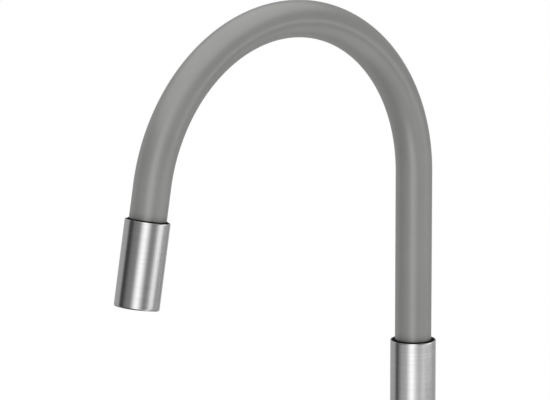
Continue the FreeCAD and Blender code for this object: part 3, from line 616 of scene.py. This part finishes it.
THIN_EDGE = 0.00006

collar = lathe("collar", [(14.4, 109.1), (15, 109.1), (15, 112), (15, 170), (14.4, 170)], 160)
soften(collar, THIN_EDGE)
finished(collar, brushed_steel("collar_steel", COLUMN, rims=(170, 109.1)), "collar_tube",
         "spout")

head = lathe("outlet_tube", [(13.9, 0), (14, 0), (14.14, 0.1), (14.5, 0.83), (14.5, 55.3),
                             (13.9, 55.3)], 160)
soften(head, 0.00004, angle=15)
put(head, HEAD)
finished(head, brushed_steel("head_steel", HEAD, rims=(55.3,)), "head_tube", "spout_head")

# Black bushes that hold the hose in the tubes. Their lips close the gap and stand a little
# proud. Their colour is darker and less shiny than black plastic, and paints the gap's deep
# shade

# Black plastic made near-black and almost without shine, to paint the deep shade in the gap
black_with_gap_shade = moulded("black_with_gap_shade", grey(0.008), roughness=0.80, grain=2200, depth=0.00002,
                     specular=0.05)
collar_bush = lathe("collar_bush", [
    (9.35, 140.6), (14.35, 140.6), (14.35, 169.9), (13.7, 170.1), (12.8, 170.5), (12.4, 170.5),
    (12.2, 170.3), (12.2, 152.6), (9.35, 152.6)])
soften(collar_bush, THIN_EDGE)
finished(collar_bush, black_with_gap_shade, "lower_core_clamp", "spout")

head_bush = lathe("head_bush", [
    (9.35, 43.5), (13.85, 43.5), (13.85, 55.2), (13.5, 55.4), (12.8, 56.0), (12.4, 56.0),
    (12.2, 55.8), (12.2, 51.5), (9.35, 51.5)])
soften(head_bush, THIN_EDGE)
put(head_bush, HEAD)
finished(head_bush, black_with_gap_shade, "upper_core_clamp", "spout_head")

# The handle: a hub hollowed by a dome round the lever's pivot, so that it clears the
# cartridge's cover when it lifts, and the lever's rod

LIFT = math.radians(25)
PIVOT = 30.7
DOME = 24.795
hollow = [(DOME * math.sin(math.radians(turn)), PIVOT + DOME * math.cos(math.radians(turn)))
          for turn in range(0, 44, 4)]
hub = lathe("hub", hollow + [(17.158, 48.6), (20.5, 48.6), (21, 49.1), (21, 69), (20, 70),
                             (0, 70)], 160)
# Its lower back edge is cut at the lift's angle, so that it stays clear of the barrel
slice_off(hub, point=(0, 0, 50.45), normal=(math.sin(LIFT), 0, math.cos(LIFT)))
# The rod goes in at the top, and a plug closes the grub screw's hole behind
drill(hub, diameter=10.1, middle=(21, 0, ROD_OUT), length=4, way="X")
drill(hub, diameter=7.1, middle=(0, -21, ROD_OUT), length=6.8, way="Y")
soften(hub, 0.0002)
put(hub, BARREL)
finished(hub, brushed_steel("hub_steel", BARREL, rims=(49, 69.5)), "handle_hub", "handle")

lever = lathe("lever", [(0, 71.5), (3, 71.5), (3, 81), (5, 81), (5, 116.8), (3.8, 118),
                        (0, 118)], 96)
soften(lever, 0.0003)
put(lever, LEVER)
finished(lever, brushed_steel("lever_steel", LEVER, rims=(117.5,)), "lever_rod", "handle")

# The threaded shank below the worktop: a thread, kept to a turned blank that has a plain lead

shank = screw_thread("threaded_shank", crest=16.5, root=15.75, pitch=1.5, low=-58, high=19.5)
blank = lathe("blank", [(13.5, -58), (15.2, -58), (15.7, -57.5), (15.7, -45.9), (16.6, -45),
                        (16.6, 18.6), (15.7, 19.5), (13.5, 19.5)], 101)
combine(shank, blank, "INTERSECT")
bpy.ops.object.shade_smooth_by_angle(angle=math.radians(25))
finished(shank, MATERIALS["brass"], "shank", "body")

# The aerator's honeycomb

comb = lathe("aerator_comb", [(0, 3), (8.55, 3), (8.55, 12), (7.65, 12), (7.65, 5),
                              (0, 5)], 96)
cells = honeycomb_cells("cells", width=1.45, pitch=1.85, reach=6.7, low=2, high=6)
combine(comb, cells, "DIFFERENCE")
shut(comb)
bpy.ops.object.shade_smooth_by_angle(angle=math.radians(25))
put(comb, HEAD)
finished(comb, MATERIALS["pale_plastic"], "aerator_insert", "spout_head")

# Camera and floor

CAMERA_AZIMUTH = math.radians(48.405)
CAMERA_DOWN = 11.16
camera_data = bpy.data.cameras.new("camera")
camera_data.lens = 338.0
camera_data.sensor_width = 36.0
camera_data.clip_end = 100.0
camera = bpy.data.objects.new("camera", camera_data)
camera.location = (2.4218, -2.2714, 0.9183)
camera.rotation_euler = (math.radians(90 - CAMERA_DOWN), 0, CAMERA_AZIMUTH)
bpy.context.scene.collection.objects.link(camera)
bpy.context.scene.camera = camera

FLOOR_HEIGHT = -0.0581
floor = start("floor", bpy.ops.mesh.primitive_plane_add, size=30,
              location=(0, 0, FLOOR_HEIGHT))
floor_material, graph = new_material("floor_white")
seen = graph.node("LightPath", output="Is Camera Ray")
matt = graph.node("BsdfDiffuse", None, {"Color": grey(0.80)})
glow = graph.node("Emission", None, {"Color": grey(1.0), "Strength": 1.25})
graph.node("OutputMaterial", None,
           {"Surface": graph.node("MixShader", None, {0: seen * 0.6, 1: matt, 2: glow})})
floor.data.materials.append(floor_material)
floor.visible_glossy = False

# What shiny surfaces see: (degrees right of the camera, brightness) of the studio's rings,
# from the pale ground deep down, through the ground in front and the screens round the
# horizon, up to what stands above them
UNDER = [(-180, 0.50), (-120, 0.50), (-80, 0.08), (-30, 0.09), (0, 0.30), (25, 0.40),
         (60, 1.10), (100, 0.80), (180, 0.50)]
BELOW = [(-180, 0.50), (-120, 0.40), (-85, 0.05), (-55, 0.06), (-35, 0.35), (-6, 2.90),
         (22, 0.40), (60, 0.90), (74, 0.25), (94, 0.25), (112, 0.60), (180, 0.50)]
GROUND = [(-180, 0.52), (-112, 0.52), (-92, 0.12), (-54, 0.75), (-40, 0.85), (-10, 1.76),
          (16, 1.06), (30, 1.00), (50, 1.22), (62, 0.76), (74, 0.20), (94, 0.20), (112, 0.52),
          (180, 0.56)]
SCREENS = [(-180, 0.55), (-108, 0.54), (-91, 0.07), (-80, 0.08), (-58, 0.28), (-38, 0.34),
           (-5, 1.76), (31, 0.33), (39, 0.34), (83, 2.25), (91, 2.15), (119, 0.58),
           (180, 0.55)]
ABOVE = SCREENS[:8] + [(100, 0.36), (180, 0.45)]
STUDIO_STRENGTH = 2.0


def studio_ring(graph, turn, stops):
    """A ring of screens by the share of a full turn, which is 0.5 at the camera's bearing."""
    places = [(angle / 360 + 0.5, level / STUDIO_STRENGTH) for angle, level in stops]
    return graph.node("ValToRGB", {"stops": places}, {0: turn})


world = bpy.data.worlds.new("studio")
bpy.context.scene.world = world
graph = Graph(world)
way = graph.node("TexCoord", output="Generated")
parts = graph.node("SeparateXYZ", None, {0: way})
height = parts.other("Z")
across = parts * math.cos(CAMERA_AZIMUTH) + parts.other("Y") * math.sin(CAMERA_AZIMUTH)
ahead = parts * math.sin(CAMERA_AZIMUTH) - parts.other("Y") * math.cos(CAMERA_AZIMUTH)
turn = across.math("ARCTAN2", across, ahead) * (0.5 / math.pi) + 0.5

# Each ring gives way to the next between two heights of the way looked in
bands = studio_ring(graph, turn, UNDER)
for low, high, ring in ((-0.60, -0.48, BELOW), (-0.38, -0.29, GROUND),
                        (-0.216, -0.200, SCREENS), (-0.14, -0.05, ABOVE)):
    bands = graph.blend(graph.ramp(height, low, high), bands, studio_ring(graph, turn, ring))
for low, high, sky in ((0.45, 0.70, 1.48), (0.70, 0.95, 1.76)):
    bands = graph.blend(graph.ramp(height, low, high), bands, grey(sky / STUDIO_STRENGTH))

soft = 0.84 - height * 0.10
rays = graph.node("LightPath", output="Is Camera Ray")
shine = graph.node("Background", None, {"Color": bands, "Strength": STUDIO_STRENGTH})
light = graph.node("Background", None, {"Color": grey(1.0), "Strength": soft})
white = graph.node("Background", None, {"Color": grey(1.0), "Strength": 1.0})
lit = graph.node("MixShader", None, {0: rays.other("Is Glossy Ray"), 1: light, 2: shine})
plain = rays.larger(rays.other("Is Transmission Ray"))
graph.node("OutputWorld", None,
           {"Surface": graph.node("MixShader", None, {0: plain, 1: lit, 2: white})})


def lamp(name, side, height, size, power):
    """A soft square lamp, its side and height in degrees from the camera's bearing and the
    horizon, aimed at the middle of the spout."""
    distance = 2.4
    data = bpy.data.lights.new(name, "AREA")
    data.size = size
    data.energy = power
    made = bpy.data.objects.new(name, data)
    bearing = math.radians(side) + CAMERA_AZIMUTH
    target = Vector((0, -0.11, 0.28))
    spot = Vector((math.sin(bearing), -math.cos(bearing), math.tan(math.radians(height))))
    made.location = target + spot.normalized() * distance
    made.rotation_euler = (made.location - target).to_track_quat("Z", "Y").to_euler()
    made.visible_glossy = False
    bpy.context.scene.collection.objects.link(made)


lamp("key", side=-5, height=0, size=1.8, power=16)
lamp("fill", side=60, height=2, size=1.6, power=5)

bpy.context.scene.view_settings.view_transform = "Standard"
